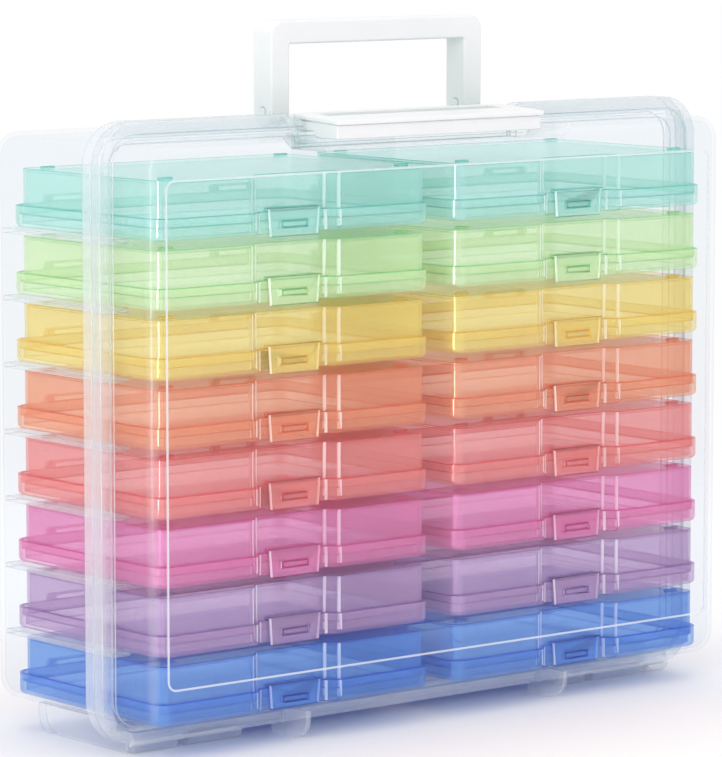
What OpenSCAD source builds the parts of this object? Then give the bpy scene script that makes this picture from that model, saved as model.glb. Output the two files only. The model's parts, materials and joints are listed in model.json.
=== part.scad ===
// Photo keeper: a clear carrying case on feet that holds sixteen small print cases.
// The cases stand in two columns of eight. A hinged front cover, a latch and a folding
// handle complete it. X runs to the right, Y to the back and Z up, in millimetres.
// The origin lies on the ground under the middle of the keeper.

/* [Print cases] */
// Width of one print case
case_w = 165; // [150:1:180]
// Depth of one print case, front to back
case_d = 118; // [112:1:130]
// Height of the tray, the lower half of a print case
tray_h = 10.5; // [9:0.5:16]
// Height of the lid above the tray's rim
lid_h = 17.5; // [12:0.5:24]
// Wall of the tray above the lid's seat
tray_wall = 1.5; // [1.2:0.1:1.8]
// Width of the seat inside the tray that carries the lid
lid_seat = 1.5; // [1:0.1:2]
// Wall of the lid
lid_wall = 1.3; // [1:0.1:1.6]
// Depth that the lid's skirt reaches down inside the tray
skirt_h = 4.5; // [3:0.5:6]
// Play between the lid's skirt and the tray's wall
lid_play = 0.5; // [0.3:0.1:0.7]
// Distance that the lid ends short of the tray at the back
lid_back_gap = 5; // [5:0.5:7]
// Radius of the edge around the bottom of the tray
tray_edge_r = 2.4; // [2.4:0.1:2.8]
// Radius of a print case's upright corners
case_corner_r = 8; // [6:0.5:12]
// Width of the finger recess at its floor
recess_w = 40; // [38:1:60]
// Depth of the finger recess
recess_d = 5; // [5:0.5:7]

/* [Catch of a print case] */
// Width of the lid's tongue at its root
tongue_w = 31; // [28:0.5:34]
// Amount that each side of the tongue draws in towards its tip
tongue_taper = 1; // [0:0.5:2]
// Thickness of the tongue
tongue_t = 1.5; // [1.2:0.1:1.8]
// Height of the ledge from which the tongue hangs
tongue_ledge_h = 1.2; // [1:0.1:1.6]
// Distance that the tongue's tip hangs below the tray, above the bottom row
tongue_drop = 1.5; // [0:0.1:2]
// Width of the tongue's window
catch_window_w = 15.5; // [10:0.5:18]
// Height of the tongue's window
catch_window_h = 3.2; // [2.6:0.2:4]
// Height of the window's lower edge above the bottom of the tray
catch_window_z = 2.7; // [2:0.1:3.5]
// Play around the tray's catch in the window
catch_play = 0.4; // [0.2:0.1:0.6]

/* [Hinge and stacking nubs of a print case] */
// Distance of each lid hinge from the middle of the print case
lid_hinge_x = 50; // [30:1:55]
// Length of the lid's hinge barrel
lid_barrel_w = 20; // [10:1:30]
// Radius of the lid's hinge barrel
lid_barrel_r = 2; // [1.5:0.1:2.2]
// Width of the tray's hinge ears
lid_ear_w = 3; // [2:0.5:5]
// Length of a stacking nub
nub_l = 8; // [5:0.5:10]
// Width of a stacking nub
nub_w = 2.5; // [2:0.1:4]
// Height of a stacking nub
nub_h = 1; // [0.6:0.1:1.2]
// Distance of a nub's outer end from the side of the print case
nub_side = 8; // [7:0.5:12]
// Distance of a nub from the front and back of the print case
nub_end = 10; // [9:0.5:14]

/* [Shells] */
// Wall of the rear shell and the front cover
wall = 2.2; // [1.8:0.1:2.6]
// Radius of the shells' corners, seen from the front
corner_r = 12; // [9:0.5:12]
// Radius of the cover's front edge
front_edge_r = 5; // [3.2:0.1:6]
// Radius of the rear shell's back edge
back_edge_r = 6; // [3.2:0.1:8]
// Depth of the front cover, up to the seam
cover_d = 34.6; // [28:0.2:45]
// Gap between the cover and the front of the print cases
front_gap = 1.8; // [1:0.1:4]
// Gap between the back wall and the print cases
back_gap = 2.8; // [1:0.1:6]
// Gap between the side wall and the print cases
side_gap = 4.65; // [3:0.05:8]
// Gap between the two columns of print cases
column_gap = 14.3; // [10:0.1:24]
// Gap above a print case, below the ledge of the next one
stack_gap = 1.3; // [1.3:0.1:3]
// Height of the free space above the top row
head_gap = 10.8; // [9.5:0.1:20]
// Height of the runners on the floor, below the bottom row
runner_h = 0.6; // [0.6:0.1:1.5]
// Width of the runners on the floor
runner_w = 6; // [3:0.5:12]
// Distance of the runners from the sides of the print cases
runner_in = 20; // [12:1:40]
// Clearance below a print case on its ledge or on its runners
seat_clear = 0.3; // [0.2:0.05:0.5]

/* [Ledges] */
// Thickness of the ledges
ledge_t = 2.6; // [2:0.1:4]
// Distance that a ledge reaches under a print case
ledge_reach = 6; // [4:0.5:6.5]
// Thickness of the upright spine between the columns
spine_t = 2.2; // [1.8:0.1:4]
// Distance of the rack from the seam
rack_set_back = 8; // [4:0.5:20]

/* [Rim] */
// Distance that the rim stands out from the shells
rim_out = 8.6; // [6:0.1:10]
// Thickness of the rim on each side of the seam
rim_t = 6.9; // [5.5:0.1:9]
// Width of the step along the inside of the cover's rim
rim_step_w = 2.8; // [1.5:0.1:4]
// Depth of the step along the inside of the cover's rim
rim_step_d = 1.5; // [0.5:0.1:3]
// Radius at the rim's ends beside the latch
rim_end_r = 12; // [10:0.5:18]

/* [Cover panel] */
// Distance of the panel's bead from the cover's sides
bead_side = 8; // [7:0.5:16]
// Distance of the bead from the cover's bottom
bead_low = 20.4; // [12:0.2:30]
// Distance of the bead from the cover's top
bead_high = 16.6; // [10:0.2:30]
// Width of the bead
bead_w = 1; // [0.6:0.1:2]
// Height of the bead
bead_h = 0.6; // [0.3:0.1:1]
// Radius of the bead's corners
bead_r = 5; // [3:0.5:10]
// Radius of the four round marks
mark_r = 7.75; // [5:0.25:10]
// Distance of the round marks from the middle of the cover
mark_x = 111; // [80:1:120]
// Distance of the round marks above and below the middle of the cover
mark_z = 78; // [60:1:90]
// Width and height of the marks' lines
mark_line = 0.5; // [0.3:0.1:0.8]
// Radius of the small mark in the middle
gate_r = 3; // [2:0.25:4]

/* [Latch] */
// Width of the latch across its top
latch_w = 130; // [100:1:150]
// Depth of the latch, from its front edge to its axis
latch_d = 32.5; // [31:0.5:36]
// Height of the latch's front face below its lip
latch_face_h = 6.8; // [5:0.1:7.5]
// Depth of the front bar
latch_bar_d = 18.5; // [12:0.5:18.5]
// Thickness of the top plate
latch_plate_t = 2.4; // [2:0.1:2.6]
// Distance that the top plate stands out over the front face
latch_lip = 1.5; // [0.5:0.1:2]
// Distance that the top plate stands out over the sides
latch_side_lip = 0.8; // [0.4:0.1:1.2]
// Rise of the top plate from its front edge to its back edge
latch_rise = 2; // [1:0.1:3]
// Width of the side arms beside the window
latch_arm_w = 9; // [8.5:0.5:12]
// Depth of the bar behind the window
latch_rear_d = 2; // [1.8:0.1:3]
// Gap on each side between the latch and the rim
latch_side_gap = 1; // [0.5:0.1:3]
// Depth of the pocket in the cover's top, below the latch
pocket_depth = 5.7; // [5.2:0.1:6.5]
// Width of the pocket's floor
pocket_w = 146; // [145:1:160]
// Thickness of the shell's ears that carry the latch
ear_t = 3; // [2.4:0.1:3.4]
// Radius of the latch's pin
latch_pin_r = 1.5; // [1.2:0.1:1.6]
// Radius of the latch's hinge end
latch_end_r = 3; // [2.8:0.1:3.1]
// Height of the latch's axis above the shells' top
latch_axis_up = 3.5; // [3.4:0.1:4]
// Distance of the latch's axis behind the seam
latch_axis_back = 3.4; // [3.4:0.1:5]

/* [Handle] */
// Width of the handle
handle_w = 133; // [110:1:150]
// Depth of the handle, front to back
handle_d = 14.3; // [13.5:0.1:15]
// Height of the handle's top above the shells
handle_h = 51.8; // [46:0.2:60]
// Height of the handle's bar
handle_bar_h = 11.4; // [8:0.2:14]
// Width of the handle's legs
handle_leg_w = 11.4; // [10.6:0.2:14]
// Radius of the handle's outer corners
handle_corner_r = 7; // [4:0.5:9]
// Distance of the handle's middle from the cover's front face
handle_y = 61.2; // [58:0.2:70]
// Height of the handle's axis above the shells' top
handle_axis_up = 8.1; // [8:0.1:9]
// Radius of the handle's pins
handle_pin_r = 2; // [1.5:0.1:2.4]
// Thickness of the shell's lugs inside the handle's legs
lug_t = 4.4; // [3.6:0.1:4.8]
// Radius of the shell's lugs
lug_r = 4.8; // [4:0.1:5]

/* [Cover hinge] */
// Radius of the hinge knuckles, which is also the height of the hinge's axis
hinge_r = 4.5; // [4:0.1:4.8]
// Radius of the hinge pins
hinge_pin_r = 1.5; // [1.2:0.1:2]
// Gap between neighbouring knuckles
hinge_gap = 6; // [2:0.5:7]
// Distance of the left hinge's outer end from the side
hinge_in_left = 12; // [10:0.5:20]
// Distance of the right hinge's outer end from the side
hinge_in_right = 5; // [5:0.5:20]
// Length of the left hinge's rear knuckle
knuckle_left = 25; // [15:1:35]
// Length of the right hinge's two rear knuckles
knuckle_right = 14; // [8:1:18]
// Length of the cover's knuckles
knuckle_cover = 32; // [20:1:35]

/* [Feet] */
// Height of the feet below the shells
foot_h = 14; // [13.6:0.2:18]
// Thickness of the rear rails
rail_t = 4.5; // [3:0.1:6]
// Distance of the rails' outer faces from the shell's sides
rail_side = 10.5; // [8:0.5:30]
// Distance of the rails' back end from the back of the shell
rail_back = 20.5; // [12:0.5:40]
// Thickness of the cover's fins
fin_t = 2.5; // [2:0.1:4]
// Distance of the fins from the middle of the keeper
fin_x = 82; // [70:0.5:95]
// Distance of the fins' front end behind the cover's front face
fin_front = 6.6; // [5.5:0.1:12]
// Radius of the feet's lower corners
foot_r = 10; // [6:0.5:12]

/* [Clearances] */
// Radial clearance of every pin in its bore
pin_clear = 0.04; // [0.02:0.01:0.08]
// Clearance of pieces that move past each other
move_clear = 0.4; // [0.3:0.05:0.5]

/* [Hidden] */
$fn = 64;
overlap = 0.5;
COLOURS = [
    ["teal", [0.49, 0.81, 0.76]],
    ["green", [0.63, 0.86, 0.62]],
    ["yellow", [0.96, 0.86, 0.39]],
    ["orange", [0.95, 0.61, 0.46]],
    ["coral", [0.91, 0.47, 0.52]],
    ["magenta", [0.83, 0.35, 0.67]],
    ["purple", [0.58, 0.49, 0.73]],
    ["blue", [0.24, 0.47, 0.87]],
];
SIDES = ["left", "right"];
CLEAR = [0.87, 0.89, 0.94, 0.6];
FROSTED = [0.94, 0.94, 0.97];
WHITE = [0.97, 0.97, 0.97];

// Sizes of the stack of print cases and of the shells around it
rows = len(COLOURS);
case_h = tray_h + lid_h;
row_pitch = case_h + stack_gap + ledge_t + seat_clear;
shell_w = 2 * (wall + side_gap + case_w) + column_gap;
shell_h = 2 * wall + runner_h + seat_clear + rows * row_pitch + head_gap;
keeper_d = 2 * wall + front_gap + case_d + back_gap;

// Places along Y, from the bead on the cover's front face to the back of the shell
face_y = bead_h - (keeper_d + bead_h) / 2;
seam_y = face_y + cover_d;
back_y = face_y + keeper_d;
case_y = face_y + wall + front_gap;
inner_back_y = back_y - wall;
flat_back_y = back_y - back_edge_r;

// Places along Z
shell_low = foot_h;
shell_high = foot_h + shell_h;
shell_mid = foot_h + shell_h / 2;
pocket_z = shell_high - pocket_depth;

// Half widths of the latch's pocket and of the rim's gap at the rim's top. The gap's round
// ends cross the rim's top and the pocket's sides at an angle, by a small lift and set-in.
rim_end_lift = 0.2;
rim_end_in = 0.5;
rim_end_z = shell_high + rim_out + rim_end_lift - rim_end_r;
gap_half = latch_w / 2 + latch_side_gap;
gap_half_top = gap_half - rim_end_in + sqrt(pow(rim_end_r, 2) - pow(shell_high - rim_end_z, 2));

// Axes of the latch and of the handle
latch_axis = [0, seam_y + latch_axis_back, shell_high + latch_axis_up];
handle_axis = [0, face_y + handle_y, shell_high + handle_axis_up];

// Each hinge knuckle as the X of its left end and its length
left_x = -shell_w / 2 + hinge_in_left;
right_x = shell_w / 2 - hinge_in_right - knuckle_right;
cover_left_x = left_x + knuckle_left + hinge_gap;
cover_right_x = right_x - hinge_gap - knuckle_cover;
inner_right_x = cover_right_x - hinge_gap - knuckle_right;
REAR_KNUCKLES = [[left_x, knuckle_left], [inner_right_x, knuckle_right], [right_x, knuckle_right]];
COVER_KNUCKLES = [[cover_left_x, knuckle_cover], [cover_right_x, knuckle_cover]];

// Spaces in each half's rim for the other half's knuckles, written the same way
REAR_NOTCHES = [
    [left_x + knuckle_left, hinge_gap + knuckle_cover + move_clear],
    [inner_right_x + knuckle_right, 2 * hinge_gap + knuckle_cover],
];
COVER_NOTCHES = [
    [left_x - move_clear, knuckle_left + hinge_gap + move_clear],
    [inner_right_x - move_clear, knuckle_right + hinge_gap + move_clear],
    [cover_right_x + knuckle_cover, knuckle_right + hinge_gap + move_clear],
];

// Left edge of a column and underside of a row, counted from the top
function column_x(side) = side == 0 ? -column_gap / 2 - case_w : column_gap / 2;
function row_z(row) = shell_low + wall + runner_h + seat_clear + (rows - 1 - row) * row_pitch;

// Rectangle with round corners, centred
module rounded(w, h, r) {
    square([w - 2 * r, h], center = true);
    square([w, h - 2 * r], center = true);
    for (x = [-1, 1], y = [-1, 1])
        translate([x * (w / 2 - r), y * (h / 2 - r)])
            circle(r);
}

// Extrudes an outline of X and Z along Y, from y0 to y1
module along_y(y0, y1) {
    translate([0, y1, 0])
        rotate([90, 0, 0])
            linear_extrude(y1 - y0)
                children();
}

// Extrudes an outline of Y and Z along X, from x0 to x1
module along_x(x0, x1) {
    translate([x0, 0, 0])
        rotate([90, 0, 90])
            linear_extrude(x1 - x0)
                children();
}

// Rod along X
module rod(x0, x1, y, z, r) {
    translate([x0, y, z])
        rotate([0, 90, 0])
            cylinder(r = r, h = x1 - x0);
}

// Upright block with round corners, whose edge at the far end is rounded by e
module soft_block(w, h, d, r, e) {
    linear_extrude(d - e)
        rounded(w, h, r);
    linear_extrude(d)
        rounded(w - 2 * e, h - 2 * e, r - e);
    for (s = [-1, 1]) {
        translate([s * (w / 2 - e), 0, d - e])
            rotate([90, 0, 0])
                cylinder(r = e, h = h - 2 * r, center = true);
        translate([0, s * (h / 2 - e), d - e])
            rotate([0, 90, 0])
                cylinder(r = e, h = w - 2 * r, center = true);
    }
    for (x = [-1, 1], y = [-1, 1])
        translate([x * (w / 2 - r), y * (h / 2 - r), d - e])
            rotate_extrude()
                translate([r - e, 0])
                    circle(e);
}

// Block of the cover from the seam forwards, drawn in by inset on every side
module cover_block(inset, extra) {
    translate([0, seam_y + extra, shell_mid])
        rotate([90, 0, 0])
            soft_block(shell_w - 2 * inset, shell_h - 2 * inset, cover_d - inset + extra,
                corner_r - inset, front_edge_r - inset);
}

// Block of the rear shell from the seam backwards, drawn in by inset on every side
module rear_block(inset, extra) {
    translate([0, seam_y - extra, shell_mid])
        rotate([-90, 0, 0])
            soft_block(shell_w - 2 * inset, shell_h - 2 * inset, keeper_d - cover_d - inset + extra,
                corner_r - inset, back_edge_r - inset);
}

// Outline around the shells, grown by a distance
module shell_outline(grow) {
    translate([0, shell_mid])
        rounded(shell_w + 2 * grow, shell_h + 2 * grow, corner_r + grow);
}

// Gap in the rim for the latch, with round ends
module rim_gap() {
    difference() {
        translate([-gap_half_top, shell_high])
            square([2 * gap_half_top, rim_out + overlap]);
        for (x = [-1, 1])
            translate([x * gap_half_top, rim_end_z])
                circle(rim_end_r);
    }
}

// Pocket in the cover's top for the latch, grown by a wall
module latch_pocket(grow) {
    floor_half = pocket_w / 2 + grow * tan(22.5);
    rise = pocket_depth + grow + rim_out / 2;
    low = pocket_z - grow;
    along_y(face_y - 1, seam_y - rim_t + grow)
        polygon([[-floor_half, low], [floor_half, low], [floor_half + rise, low + rise],
            [-floor_half - rise, low + rise]]);
    along_y(seam_y - rim_t - 1, seam_y + 1)
        translate([-gap_half - grow, low])
            square([2 * (gap_half + grow), rise]);
}

// Hinge knuckles, or the notches around them with a clearance
module knuckles(list, clear) {
    for (k = list)
        rod(k[0], k[0] + k[1], seam_y, hinge_r, hinge_r + clear);
}

// Bores or pins along the two hinges, each from its outer end to its inner end
module hinge_rods(r) {
    rod(left_x, cover_left_x + knuckle_cover, seam_y, hinge_r, r);
    rod(inner_right_x, right_x + knuckle_right, seam_y, hinge_r, r);
}

// Space that a fixed ear takes in a piece that swings about an axis along X,
// open below and behind
module swing_slot(x0, x1, axis, r, reach) {
    rod(x0, x1, axis[1], axis[2], r);
    translate([x0, axis[1] - r, axis[2] - reach])
        cube([x1 - x0, r + reach, reach]);
    translate([x0, axis[1], axis[2] - reach])
        cube([x1 - x0, reach, reach + r]);
}

// Ear on the shell's top, round about an axis along X
module top_ear(x, t, axis, r) {
    rod(x - t / 2, x + t / 2, axis[1], axis[2], r);
    translate([x - t / 2, axis[1] - r, shell_high - overlap])
        cube([t, 2 * r, axis[2] - shell_high + overlap]);
}

// Middle of the latch's ears and of the handle's lugs
latch_ear_x = latch_w / 2 - latch_side_lip - latch_arm_w / 2 + overlap;
lug_x = handle_w / 2 - handle_leg_w / 2;

// Wall that closes the rear shell's front behind the cover's pocket
module pocket_wall() {
    translate([-gap_half - wall, seam_y, pocket_z - wall])
        cube([2 * (gap_half + wall), wall, pocket_depth + wall / 2]);
}

// Body of the rear shell with its rim, open at the seam
module rear_body() {
    difference() {
        union() {
            rear_block(0, 0);
            difference() {
                along_y(seam_y, seam_y + rim_t)
                    shell_outline(rim_out);
                along_y(seam_y - 1, seam_y + rim_t + 1)
                    rim_gap();
            }
        }
        rear_block(wall, 1);
    }
}

module rear_shell() {
    color(CLEAR)
        difference() {
            union() {
                rear_body();
                pocket_wall();
                knuckles(REAR_KNUCKLES, 0);
                for (s = [-1, 1]) {
                    top_ear(s * latch_ear_x, ear_t, latch_axis, latch_end_r);
                    top_ear(s * lug_x, lug_t, handle_axis, lug_r);
                }
            }
            knuckles(REAR_NOTCHES, move_clear);
            hinge_rods(hinge_pin_r + pin_clear);
            rod(-latch_w / 2, latch_w / 2, latch_axis[1], latch_axis[2], latch_pin_r + pin_clear);
            rod(-handle_w / 2, handle_w / 2, handle_axis[1], handle_axis[2], handle_pin_r + pin_clear);
        }
}

// One ledge under a print case, reaching from x0 to x1 and from y0 to y1
module ledge(x0, x1, row, y0, y1) {
    translate([x0, y0, row_z(row) - seat_clear - ledge_t])
        cube([x1 - x0, y1 - y0, ledge_t]);
}

module side_ledges() {
    inner = column_gap / 2 + case_w - ledge_reach;
    color(FROSTED)
        for (row = [0 : rows - 2]) {
            ledge(-shell_w / 2 + wall, -inner, row, seam_y, flat_back_y);
            ledge(inner, shell_w / 2 - wall, row, seam_y, flat_back_y);
        }
}

module rack_spine() {
    color(FROSTED)
        translate([-spine_t / 2, seam_y + rack_set_back, shell_low + wall])
            cube([spine_t, flat_back_y - seam_y - rack_set_back, shell_h - 2 * wall]);
}

module rack_ledges() {
    outer = column_gap / 2 + ledge_reach;
    color(FROSTED)
        for (row = [0 : rows - 2]) {
            ledge(-outer, -spine_t / 2, row, seam_y + rack_set_back, inner_back_y);
            ledge(spine_t / 2, outer, row, seam_y + rack_set_back, inner_back_y);
        }
}

module runners() {
    color(FROSTED)
        for (side = [0, 1], x = [runner_in, case_w - runner_in - runner_w])
            translate([column_x(side) + x, seam_y, shell_low + wall])
                cube([runner_w, inner_back_y - back_edge_r - seam_y, runner_h]);
}

module rear_feet() {
    front = seam_y + move_clear;
    back = back_y - rail_back;
    top = foot_h + corner_r / 2;
    color(FROSTED)
        difference() {
            for (s = [-1, 1])
                translate([s * (shell_w / 2 - rail_side - rail_t / 2) - rail_t / 2, 0, 0])
                    along_x(0, rail_t) {
                        translate([front, 0])
                            square([back - foot_r - front, top]);
                        translate([front, foot_r])
                            square([back - front, top - foot_r]);
                        translate([back - foot_r, foot_r])
                            circle(foot_r);
                    }
            rear_block(0, 0);
            along_y(seam_y, seam_y + rim_t)
                shell_outline(rim_out);
            knuckles(REAR_KNUCKLES, 0);
        }
}

module front_cover() {
    color(CLEAR)
        difference() {
            union() {
                cover_block(0, 0);
                cover_rim();
                knuckles(COVER_KNUCKLES, 0);
                cover_marks();
            }
            difference() {
                cover_block(wall, 1);
                latch_pocket(wall);
            }
            latch_pocket(0);
            knuckles(COVER_NOTCHES, move_clear);
            hinge_rods(hinge_pin_r + pin_clear);
        }
}

// Rim of the cover, with a step beside the cover's walls and the gap for the latch
module cover_rim() {
    difference() {
        along_y(seam_y - rim_t, seam_y)
            shell_outline(rim_out);
        along_y(seam_y - rim_t - 1, seam_y - rim_t + rim_step_d)
            shell_outline(rim_step_w);
        along_y(seam_y - rim_t - 1, seam_y + 1)
            rim_gap();
    }
}

// Thin raised ring on the cover's front face
module ring_mark(x, z, r) {
    translate([x, 0, z])
        along_y(face_y - mark_line, face_y + overlap)
            difference() {
                circle(r);
                circle(r - mark_line);
            }
}

// Bead around the cover's panel, with the round marks inside it
module cover_marks() {
    bead_width = shell_w - 2 * bead_side;
    bead_height = shell_h - bead_low - bead_high;
    along_y(face_y - bead_h, face_y + overlap)
        translate([0, shell_low + bead_low + bead_height / 2])
            difference() {
                rounded(bead_width, bead_height, bead_r);
                rounded(bead_width - 2 * bead_w, bead_height - 2 * bead_w, bead_r - bead_w);
            }
    for (x = [-1, 1], z = [-1, 1])
        ring_mark(x * mark_x, shell_mid + z * mark_z, mark_r);
    ring_mark(0, shell_mid, gate_r);
}

module cover_feet() {
    color(FROSTED)
        for (s = [-1, 1])
            translate([s * fin_x - fin_t / 2, 0, 0])
                along_x(0, fin_t)
                    difference() {
                        union() {
                            translate([face_y + fin_front + foot_r, 0])
                                square([cover_d - fin_front - foot_r - move_clear, foot_h]);
                            translate([face_y + fin_front, foot_r])
                                square([foot_r + 1, foot_h - foot_r]);
                            translate([face_y + fin_front + foot_r, foot_r])
                                circle(foot_r);
                        }
                        translate([face_y, foot_h])
                            square([cover_d, foot_r]);
                        translate([seam_y - rim_t, foot_h - rim_out])
                            square([rim_t, foot_h]);
                    }
}

module hinge_pins() {
    color(WHITE)
        hinge_rods(hinge_pin_r);
}

module handle() {
    top = shell_high + handle_h;
    leg_r = handle_d / 2;
    color(WHITE)
        difference() {
            union() {
                along_y(handle_axis[1] - leg_r, handle_axis[1] + leg_r)
                    difference() {
                        handle_outline(handle_w, top, handle_corner_r);
                        handle_outline(handle_w - 2 * handle_leg_w, top - handle_bar_h, 1);
                    }
                for (s = [-1, 1])
                    rod(s * lug_x - handle_leg_w / 2, s * lug_x + handle_leg_w / 2, handle_axis[1],
                        handle_axis[2], leg_r);
            }
            for (s = [-1, 1])
                swing_slot(s * lug_x - lug_t / 2 - move_clear, s * lug_x + lug_t / 2 + move_clear,
                    handle_axis, lug_r + move_clear, handle_d);
            rod(-handle_w, handle_w, handle_axis[1], handle_axis[2], handle_pin_r + pin_clear);
        }
}

// Outline from the handle's axis up to a top with round corners
module handle_outline(w, top, r) {
    translate([-w / 2, handle_axis[2]])
        square([w, top - handle_axis[2] - r]);
    translate([-w / 2 + r, handle_axis[2]])
        square([w - 2 * r, top - handle_axis[2]]);
    for (x = [-1, 1])
        translate([x * (w / 2 - r), top - r])
            circle(r);
}

module handle_pins() {
    color(WHITE)
        for (s = [-1, 1])
            rod(s * lug_x - handle_leg_w / 2, s * lug_x + handle_leg_w / 2, handle_axis[1],
                handle_axis[2], handle_pin_r);
}

// Side view of the latch's block, which ends round about its axis
module latch_side() {
    face = latch_axis[1] - latch_d + latch_lip;
    bar_back = latch_axis[1] - latch_d + latch_bar_d;
    low = latch_top_front() - latch_plate_t - latch_face_h;
    under = shell_high + latch_axis_up - latch_end_r;
    top = latch_top_front() - latch_plate_t;
    polygon([[face, low], [bar_back, low], [bar_back, under], [latch_axis[1], under],
        [latch_axis[1], top + latch_rise], [face, top]]);
    translate([latch_axis[1], latch_axis[2]])
        circle(latch_end_r);
}

// Height of the latch's top at its front edge
function latch_top_front() = shell_high + latch_axis_up + latch_end_r + latch_plate_t - latch_rise - overlap;

module latch() {
    front = latch_axis[1] - latch_d;
    top = latch_top_front();
    half = latch_w / 2;
    back = latch_axis[1] + latch_rear_d;
    color(WHITE)
        difference() {
            union() {
                along_x(-half + latch_side_lip, half - latch_side_lip)
                    latch_side();
                along_x(-half, half)
                    polygon([[front, top - latch_plate_t], [back, top + latch_rise - latch_plate_t],
                        [back, top + latch_rise], [front, top]]);
            }
            translate([-half + latch_side_lip + latch_arm_w, front + latch_bar_d, shell_high])
                cube([latch_w - 2 * (latch_side_lip + latch_arm_w),
                    latch_d - latch_bar_d - latch_rear_d, handle_h]);
            for (s = [-1, 1])
                swing_slot(s * latch_ear_x - ear_t / 2 - move_clear, s * latch_ear_x + ear_t / 2 + move_clear,
                    latch_axis, latch_end_r + move_clear, 2 * latch_end_r);
            rod(-latch_w, latch_w, latch_axis[1], latch_axis[2], latch_pin_r + pin_clear);
        }
}

module latch_pins() {
    middle = latch_w / 2 - latch_side_lip - latch_arm_w / 2;
    color(WHITE)
        for (s = [-1, 1])
            rod(s * middle - latch_arm_w / 2, s * middle + latch_arm_w / 2, latch_axis[1], latch_axis[2],
                latch_pin_r);
}

// Plan of a print case from its front left corner, drawn in by inset, with the finger recess
module case_plan(inset, y0, y1, recess_y) {
    difference() {
        translate([case_w / 2, (y0 + y1) / 2])
            rounded(case_w - 2 * inset, y1 - y0, case_corner_r - inset);
        finger_recess(recess_y);
    }
}

// Plan of the finger recess, whose floor lies recess_y behind the front of the tray
module finger_recess(recess_y) {
    floor_half = recess_w / 2 + (recess_y - recess_d) * tan(22.5);
    translate([case_w / 2, 0])
        polygon([[-floor_half - recess_y - 1, -1], [floor_half + recess_y + 1, -1],
            [floor_half, recess_y], [-floor_half, recess_y]]);
}

// Ears or barrel of the lid's hinge, at each hinge
module lid_hinge(x0, x1) {
    y = case_d - lid_barrel_r - tray_wall / 2;
    for (x = [case_w / 2 - lid_hinge_x, case_w / 2 + lid_hinge_x])
        rod(x + x0, x + x1, y, tray_h + lid_barrel_r, lid_barrel_r);
}

module tray(row, side) {
    deep = tray_wall + lid_seat;
    ear_x = lid_barrel_w / 2 + move_clear;
    color(COLOURS[row][1])
        translate([column_x(side), case_y, row_z(row)]) {
            difference() {
                translate([case_w / 2, case_d / 2, tray_h])
                    rotate([180, 0, 0])
                        soft_block(case_w, case_d, tray_h, case_corner_r, tray_edge_r);
                translate([0, 0, -1])
                    linear_extrude(tray_h + 2)
                        finger_recess(recess_d);
                translate([0, 0, tray_wall])
                    linear_extrude(tray_h)
                        case_plan(deep, deep, case_d - deep, recess_d + deep);
                translate([0, 0, tray_h - skirt_h])
                    linear_extrude(tray_h)
                        case_plan(tray_wall, tray_wall, case_d - tray_wall, recess_d + tray_wall);
            }
            translate([(case_w - catch_window_w) / 2 + catch_play, recess_d - tongue_t - move_clear,
                catch_window_z + catch_play])
                cube([catch_window_w - 2 * catch_play, tongue_t + move_clear + overlap,
                    catch_window_h - 2 * catch_play]);
            for (ends = [[-ear_x - lid_ear_w, -ear_x], [ear_x, ear_x + lid_ear_w]]) {
                lid_hinge(ends[0], ends[1]);
                for (x = [case_w / 2 - lid_hinge_x, case_w / 2 + lid_hinge_x])
                    translate([x + ends[0], case_d - tray_wall, tray_h - overlap])
                        cube([lid_ear_w, tray_wall / 2, lid_barrel_r]);
            }
        }
}

// One stacking nub on a lid, with round ends
module nub(x, y) {
    translate([x - nub_l / 2 + nub_w / 2, y - nub_w / 2, case_h - overlap])
        cube([nub_l - nub_w, nub_w, nub_h + overlap]);
    for (end = [-1, 1])
        translate([x + end * (nub_l - nub_w) / 2, y, case_h - overlap])
            cylinder(d = nub_w, h = nub_h + overlap);
}

// Tongue of the lid that hangs in the finger recess, with the catch's window
module tongue(drop) {
    ledge_z = tray_h + seat_clear;
    root_half = tongue_w / 2;
    along_y(recess_d - move_clear - tongue_t, recess_d - move_clear)
        translate([case_w / 2, 0])
            difference() {
                polygon([[-root_half, ledge_z + tongue_ledge_h], [root_half, ledge_z + tongue_ledge_h],
                    [root_half - tongue_taper, -drop], [tongue_taper - root_half, -drop]]);
                translate([-catch_window_w / 2, catch_window_z])
                    square([catch_window_w, catch_window_h]);
            }
    translate([case_w / 2 - root_half + tongue_taper / 2, recess_d - move_clear - overlap, ledge_z])
        cube([tongue_w - tongue_taper, tray_wall + lid_play + move_clear + 2 * overlap, tongue_ledge_h]);
}

module lid(row, side) {
    inset = tray_wall + lid_play;
    back = case_d - lid_back_gap;
    drop = row == rows - 1 ? 0 : tongue_drop;
    skirt_z = tray_h - skirt_h;
    color(COLOURS[row][1])
        translate([column_x(side), case_y, row_z(row)]) {
            difference() {
                translate([0, 0, skirt_z])
                    linear_extrude(case_h - skirt_z)
                        case_plan(inset, inset, back, recess_d + inset);
                translate([0, 0, skirt_z - 1])
                    linear_extrude(case_h - skirt_z - lid_wall + 1)
                        case_plan(inset + lid_wall, inset + lid_wall, back - lid_wall,
                            recess_d + inset + lid_wall);
            }
            tongue(drop);
            lid_hinge(-lid_barrel_w / 2, lid_barrel_w / 2);
            for (x = [case_w / 2 - lid_hinge_x, case_w / 2 + lid_hinge_x])
                translate([x - lid_barrel_w / 2, back - overlap, tray_h + lid_barrel_r / 2])
                    cube([lid_barrel_w, lid_back_gap - lid_barrel_r, lid_barrel_r]);
            for (x = [nub_side + nub_l / 2, case_w - nub_side - nub_l / 2], y = [nub_end, back - nub_end])
                nub(x, y);
        }
}

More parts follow.
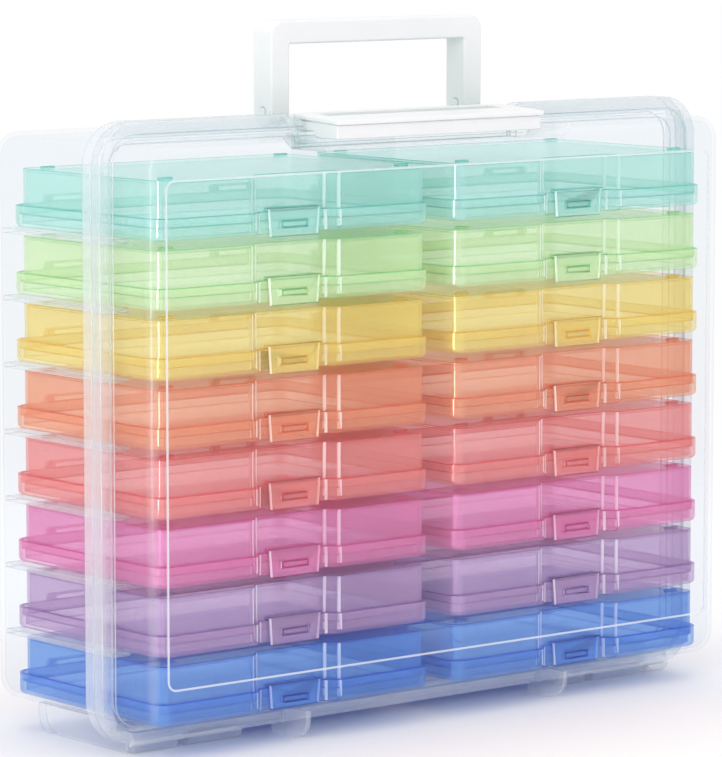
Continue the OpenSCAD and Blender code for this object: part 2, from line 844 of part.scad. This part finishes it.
rear_shell();
side_ledges();
rack_spine();
rack_ledges();
runners();
rear_feet();
front_cover();
cover_feet();
hinge_pins();
handle();
handle_pins();
latch();
latch_pins();
for (row = [0 : rows - 1], side = [0, 1]) {
    tray(row, side);
    lid(row, side);
}
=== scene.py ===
import json
import math

import bmesh
import bpy
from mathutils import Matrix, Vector

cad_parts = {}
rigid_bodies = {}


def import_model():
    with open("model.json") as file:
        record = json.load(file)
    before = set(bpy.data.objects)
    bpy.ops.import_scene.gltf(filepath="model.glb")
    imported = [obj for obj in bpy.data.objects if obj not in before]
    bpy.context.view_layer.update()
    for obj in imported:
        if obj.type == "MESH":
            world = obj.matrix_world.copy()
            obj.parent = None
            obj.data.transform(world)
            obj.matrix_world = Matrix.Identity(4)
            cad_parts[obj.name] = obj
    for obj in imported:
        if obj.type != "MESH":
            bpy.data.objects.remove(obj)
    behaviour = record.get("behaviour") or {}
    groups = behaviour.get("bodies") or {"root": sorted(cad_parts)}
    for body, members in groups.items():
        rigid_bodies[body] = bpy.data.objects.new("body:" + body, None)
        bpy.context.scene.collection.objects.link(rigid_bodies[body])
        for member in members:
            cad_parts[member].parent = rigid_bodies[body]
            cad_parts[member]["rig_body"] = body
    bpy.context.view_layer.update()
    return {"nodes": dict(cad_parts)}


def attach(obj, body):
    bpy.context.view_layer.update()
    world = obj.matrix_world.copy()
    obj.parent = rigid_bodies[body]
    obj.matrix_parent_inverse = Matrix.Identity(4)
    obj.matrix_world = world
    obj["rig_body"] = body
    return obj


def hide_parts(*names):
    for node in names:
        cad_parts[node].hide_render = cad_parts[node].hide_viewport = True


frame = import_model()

# Rear shell
# The back half of the outer case: one moulding in clear polypropylene 2.2 mm thick, open at the
# seam, with a flat rim around its mouth, the ears of the latch and the lugs of the handle on top,
# and the rear knuckles of the cover's hinge below.


class Reading:
    """A number on its way through a finish, worked on with plain arithmetic."""

    def __init__(self, finish, socket):
        self.finish = finish
        self.socket = socket

    def worked(self, operation, *values):
        return self.finish.node("ShaderNodeMath", {"operation": operation}, dict(enumerate(values)))

    def __add__(self, other):
        return self.worked("ADD", self, other)

    def __radd__(self, other):
        return self.worked("ADD", other, self)

    def __sub__(self, other):
        return self.worked("SUBTRACT", self, other)

    def __rsub__(self, other):
        return self.worked("SUBTRACT", other, self)

    def __mul__(self, other):
        return self.worked("MULTIPLY", self, other)

    def __rmul__(self, other):
        return self.worked("MULTIPLY", other, self)

    def __pow__(self, other):
        return self.worked("POWER", self, other)

    def __abs__(self):
        return self.worked("ABSOLUTE", self)

    def sine(self):
        return self.worked("SINE", self)

    def over(self, other):
        return self.worked("MAXIMUM", self, other)

    def under(self, other):
        return self.worked("MINIMUM", self, other)

    def ramp(self, start, end):
        """0 at the start and 1 at the end, smooth between them, rising or falling."""
        settings = {"interpolation_type": "SMOOTHSTEP"}
        rising = self.finish.node("ShaderNodeMapRange", settings,
                                  {0: self, 1: min(start, end), 2: max(start, end)})
        return rising if start < end else 1 - rising


class Finish:
    """One material or world, made node by node."""

    def __init__(self, name, home=None):
        self.material = home or bpy.data.materials.new(name)
        self.material.use_nodes = True
        self.tree = self.material.node_tree
        self.tree.nodes.clear()
        self.place = self.node("ShaderNodeTexCoord", out="Object")
        self.x = self.node("ShaderNodeSeparateXYZ", {}, {0: self.place}, out="X")
        self.y = Reading(self, self.x.socket.node.outputs["Y"])
        self.z = Reading(self, self.x.socket.node.outputs["Z"])

    def node(self, kind, settings=None, values=None, out=0):
        made = self.tree.nodes.new(kind)
        for key, value in (settings or {}).items():
            setattr(made, key, value)
        for key, value in (values or {}).items():
            if isinstance(value, Reading):
                self.tree.links.new(value.socket, made.inputs[key])
            else:
                made.inputs[key].default_value = value
        return Reading(self, made.outputs[out]) if made.outputs else None

    def facing(self):
        """0 where the surface is seen straight on and 1 where it is seen edge on."""
        return self.node("ShaderNodeLayerWeight", {}, {"Blend": 0.5}, out="Facing")

    def waves(self, across, deep, high):
        """Slow ripples, from 0 to 1, with as many radians to the metre along each axis."""
        bent = (self.x * across + 2.0 * (self.z * (high * 0.7)).sine()).sine()
        return bent * 0.25 + (self.z * high + self.y * deep).sine() * 0.25 + 0.5

    def between(self, share, first, second):
        """A colour between two colours."""
        return self.node("ShaderNodeMix", {"data_type": "RGBA"}, {0: share, 6: first, 7: second}, out=2)

    def bump(self, height, strength, distance):
        values = {"Height": height, "Strength": strength, "Distance": distance}
        return self.node("ShaderNodeBump", {}, values)

    def end(self, shader):
        self.node("ShaderNodeOutputMaterial", {}, {"Surface": shader})
        return self.material


def colour(code):
    """Linear colour of a screen colour such as 7fd0c0, with a fourth part of 1."""
    parts = [int(code[i:i + 2], 16) / 255 for i in (0, 2, 4)]
    return (*(p / 12.92 if p <= 0.04045 else ((p + 0.055) / 1.055) ** 2.4 for p in parts), 1)


def thin_plastic(finish, tint, body, share, roughness, normal, mirror):
    """Light either passes and takes the tint, or is scattered and mirrored by the body."""
    passing = finish.node("ShaderNodeBsdfTransparent", {}, {"Color": tint})
    solid = finish.node("ShaderNodeBsdfPrincipled", {}, {
        "Base Color": body, "Roughness": roughness, "Metallic": mirror, "Normal": normal})
    return finish.end(finish.node("ShaderNodeMixShader", {}, {0: share, 1: passing, 2: solid}))


RIM_HALF_W = 0.1790
RIM_HALF_H = 0.13685
RIM_MIDDLE_Z = 0.15085
RIM_FADE = (0.0004, 0.0016)
BEAD_RISE_Y = (-0.06325, -0.0636)
BEAD_SIDES_X = (0.150, 0.160)
BEAD_MIDDLE_Z = 0.1528
BEAD_ENDS = (0.105, 0.11)
SHELL_CORNER_X = (0.1735, 0.1782)
SHELL_CORNER_Y = (0.0570, 0.0605)
SHELL_MIDDLE_Y = -0.0003
# The corner share is a painted highlight on the shell's upright corners; the rim, bead and grazing
# shares are the plastic's own milkiness.
RIM_MILK, BEAD_MILK, PAINTED_CORNER_HIGHLIGHT, GRAZING_MILK = 0.32, 0.60, 0.08, 0.30
MOST_MILK = 0.92


def clear_moulding(name, haze):
    """Clear polypropylene: faint milky flow marks, whiter in the rim and the bead, with a painted
    highlight whitening its upright corners.
    """
    f = Finish(name)
    flow = f.waves(31.0, 17.0, 23.0)
    beyond = (abs(f.x) - RIM_HALF_W).over(abs(f.z - RIM_MIDDLE_Z) - RIM_HALF_H)
    rim = beyond.ramp(*RIM_FADE)
    outer = abs(f.x).ramp(*BEAD_SIDES_X).over(abs(f.z - BEAD_MIDDLE_Z).ramp(*BEAD_ENDS))
    bead = f.y.ramp(*BEAD_RISE_Y) * outer
    # Painted highlight: the shell's upright corners are whitened where they would catch the light.
    painted_highlight_corner = abs(f.x).ramp(*SHELL_CORNER_X) * abs(f.y - SHELL_MIDDLE_Y).ramp(*SHELL_CORNER_Y)
    milk = haze * (0.7 + 0.6 * flow) + rim * RIM_MILK + bead * BEAD_MILK + painted_highlight_corner * PAINTED_CORNER_HIGHLIGHT
    share = (milk + f.facing() ** 5.0 * GRAZING_MILK).under(MOST_MILK)
    body = f.between(rim, colour("e8ebef"), colour("f1f3f6"))
    return thin_plastic(f, colour("fcfdfe"), body, share, 0.12 + 0.06 * flow,
                        f.bump(flow, 0.18, 0.001), 0.4)


def moulded_edge(name, tint, body, share, mirror=0.3):
    """The rounded edge of a clear moulding, which gathers light or colour."""
    f = Finish(name)
    flow = f.waves(90.0, 70.0, 80.0)
    return thin_plastic(f, tint, body, share * (0.8 + 0.4 * flow), 0.18, f.bump(flow, 0.2, 0.0005),
                        mirror)


def dress(node, material):
    """Gives a CAD piece its finish."""
    mesh = frame["nodes"][node].data
    mesh.materials.clear()
    mesh.materials.append(material)


MERGE_DISTANCE = 0.00001
FLAT_ANGLE = math.radians(0.4)
UPRIGHT_ANGLE = math.radians(40)
SHARP_ANGLE = math.radians(50)
FOLD_ANGLE = math.radians(150)
LEAST_UPRIGHT = 0.003


def is_upright(a, b):
    """Whether the edge from a to b stands upright and isn't very short."""
    return abs(a.z - b.z) > max(LEAST_UPRIGHT, 0.95 * (a - b).length)


def softened(node, name, width, finishes, segments=2, where=None, upright=0, merged=True):
    """Stands for a CAD piece with a copy whose sharp edges are rounded, upright ones by a width
    of their own, inside the piece's own box. Rounded edges take the second finish, and upright
    ones the third. A piece with a window isn't merged, which would close the window."""
    shape = bmesh.new()
    shape.from_mesh(frame["nodes"][node].data)
    bmesh.ops.remove_doubles(shape, verts=shape.verts, dist=MERGE_DISTANCE)
    if merged:
        bmesh.ops.dissolve_limit(shape, angle_limit=FLAT_ANGLE, verts=shape.verts,
                                 edges=shape.edges, use_dissolve_boundaries=False, delimit=set())
    turns = ((upright, UPRIGHT_ANGLE, 2, is_upright), (width, SHARP_ANGLE, 1, lambda a, b: True))
    for round_width, least_angle, finish_place, chosen in turns:
        sharp = [e for e in shape.edges
                 if len(e.link_faces) == 2
                 and least_angle < e.calc_face_angle() < FOLD_ANGLE
                 and (where is None or where((e.verts[0].co + e.verts[1].co) / 2))
                 and chosen(e.verts[0].co, e.verts[1].co)]
        if round_width and sharp:
            made = bmesh.ops.bevel(shape, geom=sharp, offset=round_width, offset_type="OFFSET",
                                   segments=segments, profile=0.5, affect="EDGES",
                                   clamp_overlap=False, material=-1)
            for face in made["faces"]:
                face.material_index = min(finish_place, len(finishes) - 1)
    corners = frame["nodes"][node].bound_box
    for vertex in shape.verts:
        vertex.co = [min(max(value, low), high)
                     for value, low, high in zip(vertex.co, corners[0], corners[6])]
    mesh = bpy.data.meshes.new(name)
    shape.to_mesh(mesh)
    shape.free()
    for finish in finishes:
        mesh.materials.append(finish)
    piece = bpy.data.objects.new(name, mesh)
    bpy.context.scene.collection.objects.link(piece)
    mesh.shade_smooth()
    mesh.set_sharp_from_angle(angle=UPRIGHT_ANGLE)
    weighted = piece.modifiers.new("weighted", "WEIGHTED_NORMAL")
    weighted.keep_sharp = True
    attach(piece, frame["nodes"][node]["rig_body"])
    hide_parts(node)


SHELL_EDGE_W = 0.0005
KNUCKLE_TOP_Z = 0.0102
EAR_FOOT_Z = 0.2968

clear_shell = clear_moulding("clear_shell", 0.022)
shell_edge = moulded_edge("shell_edge", colour("e9edf0"), colour("e3e7ea"), 0.5)
softened("rear_shell", "rear_shell_moulding", SHELL_EDGE_W,
         (clear_shell, shell_edge), where=lambda p: KNUCKLE_TOP_Z < p.z < EAR_FOOT_Z)

# Ledges, rack and runners
# The fixed fittings that carry the print cases inside the rear shell: short ledges down both
# sides, a rack of a spine with ledges between the two columns, and low runners under the bottom
# row. The ledges, the runners and the rear feet are milky, and the rack is nearly clear.


def frosted_moulding(name, haze):
    """Milky polypropylene, dull on its faces and brighter where it is seen edge on."""
    f = Finish(name)
    cloud = f.waves(140.0, 110.0, 90.0)
    share = (haze * (0.8 + 0.4 * cloud) + f.facing() ** 3.0 * 0.3).under(0.95)
    body = f.between(cloud, colour("f8f9fc"), colour("ffffff"))
    return thin_plastic(f, colour("fbfcfd"), body, share, 0.34 + 0.12 * cloud,
                        f.bump(cloud, 0.10, 0.0004), 0.1)


def above_floor(p):
    """Whether an edge is clear of the floor, where the feet keep their sharp edges."""
    return p.z > 0.001


FITTING_EDGE_W = 0.0004

frosted = frosted_moulding("frosted", 0.16)
for fitting in ("side_ledges", "runners"):
    softened(fitting, fitting + "_moulding", FITTING_EDGE_W, (frosted, shell_edge))
softened("rear_feet", "rear_feet_moulding", FITTING_EDGE_W, (frosted, shell_edge),
         where=above_floor)
clear_rack = frosted_moulding("clear_rack", 0.012)
for fitting in ("rack_spine", "rack_ledges"):
    dress(fitting, clear_rack)

# Print cases
# Sixteen small flat cases in eight colours, two of each: a shallow tray with a finger recess and
# a catch window, and a deeper lid whose skirt sits on the tray's seat and whose tongue snaps into
# the window. They are moulded in clear tinted polypropylene 1.3 to 1.5 mm thick.

COLUMN_X = 0.08965
TRAY_MIDDLE_Y = -0.0002
# Where the painted corner highlight lies, across and along each case
CASE_CORNER_X = (0.0745, 0.0790)
CASE_CORNER_Y = (0.0510, 0.0555)
SKINS = 10


def tinted_moulding(name, shown, body, haze, edge):
    """Clear tinted polypropylene, with a painted highlight on its upright corners. Ten skins in a row
    take white light down to the shown colour.
    """
    f = Finish(name)
    flow = f.waves(60.0, 40.0, 50.0)
    # Painted highlight: the rounded upright corners of each case are whiter and more mirror-like, so
    # that they show bright lines.
    along = abs(abs(f.x) - COLUMN_X).ramp(*CASE_CORNER_X)
    painted_highlight_corner = along * abs(f.y - TRAY_MIDDLE_Y).ramp(*CASE_CORNER_Y)
    share = (haze * (0.85 + 0.3 * flow) + painted_highlight_corner * 0.25 + f.facing() ** 5.0 * edge).under(0.9)
    passed = (*(part ** (1 / SKINS) for part in shown[:3]), 1)
    return thin_plastic(f, passed, body, share, 0.08 + 0.04 * flow, f.bump(flow, 0.12, 0.001),
                        0.12 + 0.45 * painted_highlight_corner)


# The colour that ten skins pass, that of the plastic's own body, and that of its thick edges
CASE_COLOURS = {
    "teal": ("c0f2e8", "caf3ec", "36bfb8"),
    "green": ("e6fdc6", "eafdd0", "6acc86"),
    "yellow": ("ffe97f", "ffeb8c", "f6c63a"),
    "orange": ("fda87b", "fdb38b", "ee784a"),
    "coral": ("fd8e8d", "fda7a2", "e64e5c"),
    "magenta": ("fa7fc4", "f49bcd", "d3339e"),
    "purple": ("c39bd2", "d3b0da", "8761b0"),
    "blue": ("5c98f6", "72a9f0", "215dd2"),
}
CASE_EDGE_W = 0.00035
CASE_UPRIGHT_W = 0.0008

for name, (shown, body, deep) in CASE_COLOURS.items():
    tinted = tinted_moulding("case_" + name, colour(shown), colour(body), 0.26, 0.25)
    tinted_edge = moulded_edge("case_edge_" + name, colour(shown), colour(deep), 0.5)
    # Painted highlight: the upright rounded edges take a body paler than the plastic's own, for the
    # bright lines they show.
    painted_highlight_body = (*((1 + part) / 2 for part in colour(body)[:3]), 1)
    painted_highlight_edge = moulded_edge("case_painted_highlight_edge_" + name, colour(shown), painted_highlight_body, 0.75, 0.4)
    for side in ("left", "right"):
        for part in ("tray", "lid"):
            softened(f"{part}_{name}_{side}", f"{part}_moulding_{name}_{side}",
                     CASE_EDGE_W, (tinted, tinted_edge, painted_highlight_edge), upright=CASE_UPRIGHT_W)

# Front cover and its feet
# The front half of the outer case, hinged at the bottom: a clear tray with a stepped rim that
# meets the rear shell's rim at the seam, a raised bead around its face, four ring marks, a gate
# mark and a pocket in its top for the latch. Two thin fins below it are its feet.

FACE_MARKS_Y = -0.0628
POCKET_EDGE_Z = 0.2847
POCKET_REACH = 0.004

clear_cover = clear_moulding("clear_cover", 0.026)
softened("front_cover", "front_cover_moulding", SHELL_EDGE_W,
         (clear_cover, shell_edge),
         where=lambda p: p.z > KNUCKLE_TOP_Z
         and (p.y > FACE_MARKS_Y or abs(p.z - POCKET_EDGE_Z) < POCKET_REACH))
softened("cover_feet", "cover_feet_moulding", FITTING_EDGE_W, (frosted, shell_edge),
         where=above_floor)

# Hinge pins
# Two white plastic pins on which the cover's knuckles turn between those of the rear shell.
# Their finish, opaque and satin, is also that of the latch and the handle.


def white_moulding(name, roughness):
    """Opaque white polypropylene with a fine orange-peel skin."""
    f = Finish(name)
    cloud, peel = [f.node("ShaderNodeTexNoise", {},
                          {"Vector": f.place, "Scale": scale, "Detail": detail})
                   for scale, detail in ((30.0, 3.0), (700.0, 2.0))]
    body = f.between(cloud, colour("e0e0e2"), colour("e8e8e9"))
    solid = f.node("ShaderNodeBsdfPrincipled", {}, {
        "Base Color": body, "Roughness": roughness + 0.12 * peel,
        "Normal": f.bump(peel, 0.14, 0.0001), "IOR": 1.49})
    return f.end(solid)


white = white_moulding("white", 0.30)
dress("hinge_pins", white)

# Latch
# A white moulding across the top of the case: a plate with a window, a front bar that drops over
# the cover's edge, and two arms that turn on pins through the rear shell's ears.

softened("latch", "latch_moulding", 0.0006, (white,), segments=3, merged=False)
dress("latch_pins", white)

# Handle
# A white moulding, a flat loop of square section with round corners, whose legs straddle the
# lugs on the rear shell's top and turn on two pins.

softened("handle", "handle_moulding", 0.0012, (white,), segments=3)
dress("handle_pins", white)

# Setting
# A plain pale floor that is seen as white far out, a white surround, soft light from three large
# panels and a narrow strip, and the camera.

bpy.context.scene.view_settings.view_transform = "Standard"
cycles = bpy.context.scene.cycles
cycles.transparent_max_bounces = 96
cycles.max_bounces = 12
cycles.diffuse_bounces = 8
cycles.glossy_bounces = 4

FLOOR_HALF = 9.0
FLOOR_FADE = (0.9, 0.25)

f = Finish("floor")
near = (f.x ** 2.0 + f.y ** 2.0).ramp(*FLOOR_FADE)
seen = f.node("ShaderNodeLightPath", out="Is Camera Ray")
lit = f.node("ShaderNodeBsdfDiffuse", {}, {"Color": colour("f6f6f7")})
glow = f.node("ShaderNodeEmission", {}, {"Color": (1, 1, 1, 1), "Strength": 1.0})
f.end(f.node("ShaderNodeMixShader", {}, {0: (1 - near) * seen, 1: lit, 2: glow}))
shape = bmesh.new()
bmesh.ops.create_grid(shape, x_segments=1, y_segments=1, size=FLOOR_HALF)
mesh = bpy.data.meshes.new("floor")
shape.to_mesh(mesh)
shape.free()
mesh.materials.append(f.material)
floor = bpy.data.objects.new("floor", mesh)
bpy.context.scene.collection.objects.link(floor)

# What is seen of the surround is a little brighter than the light it gives.
SURROUND_LIGHT = 0.96

world = bpy.data.worlds.new("studio")
bpy.context.scene.world = world
f = Finish("studio", world)
camera_ray, passing_ray, mirrored_ray = [
    f.node("ShaderNodeLightPath", out=f"Is {ray} Ray") for ray in ("Camera", "Transmission", "Glossy")]
bright = camera_ray.over(passing_ray).over(mirrored_ray)
strength = SURROUND_LIGHT + (1 - SURROUND_LIGHT) * bright
sky = f.node("ShaderNodeBackground", {}, {"Color": (1, 1, 1, 1), "Strength": strength})
f.node("ShaderNodeOutputWorld", {}, {"Surface": sky})


def panel(name, place, aim, width, height, power):
    """A soft light panel."""
    lamp = bpy.data.lights.new(name, "AREA")
    lamp.shape = "RECTANGLE"
    lamp.size, lamp.size_y, lamp.energy = width, height, power
    item = bpy.data.objects.new(name, lamp)
    item.location = place
    item.rotation_euler = (Vector(aim) - Vector(place)).to_track_quat("-Z", "Y").to_euler()
    bpy.context.scene.collection.objects.link(item)


panel("strip_left", (-0.88, -0.40, 0.24), (0, 0, 0.24), 0.04, 0.46, 1.5)
panel("panel_left", (-1.8, -1.0, 1.3), (0, 0, 0.15), 1.0, 1.2, 8)
panel("panel_right", (1.5, -1.8, 1.3), (0, 0, 0.15), 1.2, 1.4, 7)
panel("panel_top", (0.1, 0.3, 2.0), (0, 0, 0.0), 1.6, 1.6, 6)

CAMERA_PLACE = (-1.3803, -1.6761, 0.4203)
CAMERA_AZIMUTH = -39.4002
CAMERA_ELEVATION = 6.79

lens = bpy.data.cameras.new("camera")
lens.lens = 221.2
lens.sensor_width = 36
lens.sensor_fit = "HORIZONTAL"
lens.clip_start, lens.clip_end = 0.05, 60
camera = bpy.data.objects.new("camera", lens)
camera.location = CAMERA_PLACE
camera.rotation_euler = (math.radians(90 - CAMERA_ELEVATION), 0, math.radians(CAMERA_AZIMUTH))
bpy.context.scene.collection.objects.link(camera)
bpy.context.scene.camera = camera
